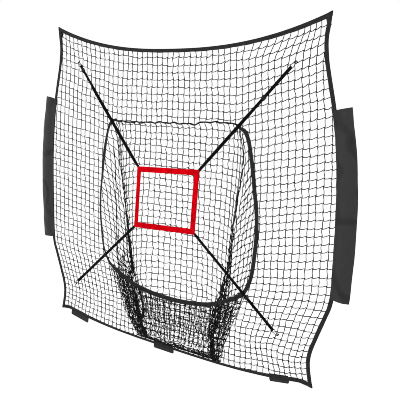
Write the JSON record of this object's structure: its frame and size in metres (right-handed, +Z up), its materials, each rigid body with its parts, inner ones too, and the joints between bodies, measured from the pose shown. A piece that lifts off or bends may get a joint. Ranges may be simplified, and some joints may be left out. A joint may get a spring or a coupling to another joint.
{
  "type": "pitching target net",
  "caption": "Netting panel with a ball pocket behind a strung red target square, for pitching practice on a bow frame.",
  "frame": {"origin": "middle of the line between the panel's two bottom corners, in the plane of the netting", "axes": "+X right seen from the thrower, +Y away from the thrower, towards the pocket, +Z up along the panel"},
  "size_m": [2.598, 0.1796, 2.212],
  "materials": {
    "net_cord": "black polyester cord, slightly fuzzy",
    "binding": "woven binding, matt",
    "cord": "black cord",
    "rim_webbing": "woven webbing, matt",
    "pocket_net": "black polyester netting",
    "sleeve_fabric": "woven nylon, wrinkled",
    "corner_fabric": "woven nylon",
    "red_webbing": "bright red woven webbing",
    "strap_webbing": "black woven webbing",
    "slider_plastic": "moulded plastic",
    "tip_vinyl": "dipped vinyl",
    "hook_wire": "zinc-plated wire",
    "hook_tape": "hook tape",
    "loop_tape": "loop tape",
    "tab_webbing": "woven webbing"
  },
  "bodies": {
    "panel": {"netting_top": "net_cord", "netting_left": "net_cord", "netting_right": "net_cord", "netting_bottom": "net_cord", "top_hem": "binding", "bottom_hem": "binding", "left_hem": "binding", "right_hem": "binding", "pocket_rim_left": "rim_webbing", "pocket_rim_right": "rim_webbing", "pocket_rim_bottom": "rim_webbing", "pocket_rim_cord": "cord", "pocket_back": "pocket_net", "pocket_side_left": "pocket_net", "pocket_side_right": "pocket_net", "pocket_front": "pocket_net", "pocket_gather": "pocket_net", "pole_sleeve_left": "sleeve_fabric", "pole_sleeve_right": "sleeve_fabric", "corner_pocket_left": "corner_fabric", "corner_pocket_right": "corner_fabric", "strap_upper_left": "strap_webbing", "strap_upper_right": "strap_webbing", "strap_lower_left": "strap_webbing", "strap_lower_right": "strap_webbing", "tab_left_front": "tab_webbing", "tab_middle_front": "tab_webbing", "tab_right_front": "tab_webbing", "loop_pads": "loop_tape"},
    "target": {"target_top": "red_webbing", "target_bottom": "red_webbing", "target_left": "red_webbing", "target_right": "red_webbing"},
    "slider_upper_left": {"slider_upper_left": "slider_plastic"},
    "hook_upper_left": {"hook_upper_left": "hook_wire", "hook_tip_upper_left": "tip_vinyl"},
    "slider_upper_right": {"slider_upper_right": "slider_plastic"},
    "hook_upper_right": {"hook_upper_right": "hook_wire", "hook_tip_upper_right": "tip_vinyl"},
    "slider_lower_left": {"slider_lower_left": "slider_plastic"},
    "hook_lower_left": {"hook_lower_left": "hook_wire", "hook_tip_lower_left": "tip_vinyl"},
    "slider_lower_right": {"slider_lower_right": "slider_plastic"},
    "hook_lower_right": {"hook_lower_right": "hook_wire", "hook_tip_lower_right": "tip_vinyl"},
    "tab_flap_left": {"tab_left_flap": "tab_webbing", "tab_left_hook_pad": "hook_tape"},
    "tab_flap_middle": {"tab_middle_flap": "tab_webbing", "tab_middle_hook_pad": "hook_tape"},
    "tab_flap_right": {"tab_right_flap": "tab_webbing", "tab_right_hook_pad": "hook_tape"}
  },
  "joints": [
    {"name": "target_give", "type": "slide", "parent": "panel", "child": "target", "axis": [0, 1, 0], "range_m": [-0.03, 0.07], "stiffness_N_per_m": 150, "deforming": ["strap_upper_left", "strap_upper_right", "strap_lower_left", "strap_lower_right"]},
    {"name": "slider_upper_left_slide", "type": "slide", "parent": "panel", "child": "slider_upper_left", "axis": [0.6397, 0, -0.7687], "range_m": [-0.02, 0.1]},
    {"name": "hook_upper_left_swing", "type": "hinge", "parent": "panel", "child": "hook_upper_left", "pos_m": [-0.85241, -0.0058, 1.85425], "axis": [0.7687, 0, 0.6397], "range_deg": [0, 110], "stiffness_Nm_per_rad": 0.02, "springref_deg": -17.19},
    {"name": "slider_upper_right_slide", "type": "slide", "parent": "panel", "child": "slider_upper_right", "axis": [-0.7019, 0, -0.7123], "range_m": [-0.08, 0.08]},
    {"name": "hook_upper_right_swing", "type": "hinge", "parent": "panel", "child": "hook_upper_right", "pos_m": [0.85693, -0.0058, 1.84051], "axis": [0.7123, 0, -0.7019], "range_deg": [0, 110], "stiffness_Nm_per_rad": 0.02, "springref_deg": -17.19},
    {"name": "slider_lower_left_slide", "type": "slide", "parent": "panel", "child": "slider_lower_left", "axis": [0.7518, 0, 0.6594], "range_m": [-0.08, 0.08]},
    {"name": "hook_lower_left_swing", "type": "hinge", "parent": "panel", "child": "hook_lower_left", "pos_m": [-0.90193, -0.0058, 0.25337], "axis": [-0.6594, 0, 0.7518], "range_deg": [0, 110], "stiffness_Nm_per_rad": 0.02, "springref_deg": -17.19},
    {"name": "slider_lower_right_slide", "type": "slide", "parent": "panel", "child": "slider_lower_right", "axis": [-0.7749, 0, 0.6321], "range_m": [-0.08, 0.08]},
    {"name": "hook_lower_right_swing", "type": "hinge", "parent": "panel", "child": "hook_lower_right", "pos_m": [0.81201, -0.0058, 0.28929], "axis": [-0.6321, 0, -0.7749], "range_deg": [0, 110], "stiffness_Nm_per_rad": 0.02, "springref_deg": -17.19},
    {"name": "tab_left_open", "type": "hinge", "parent": "panel", "child": "tab_flap_left", "pos_m": [-0.899, 0.00325, -0.04592], "axis": [-0.9863, 0, 0.165], "range_deg": [0, 170]},
    {"name": "tab_middle_open", "type": "hinge", "parent": "panel", "child": "tab_flap_middle", "pos_m": [-0.053, 0.00325, -0.07725], "axis": [-1, 0, 0], "range_deg": [0, 170]},
    {"name": "tab_right_open", "type": "hinge", "parent": "panel", "child": "tab_flap_right", "pos_m": [0.86579, 0.00325, -0.03195], "axis": [-0.9877, 0, -0.1564], "range_deg": [0, 170]}
  ]
}
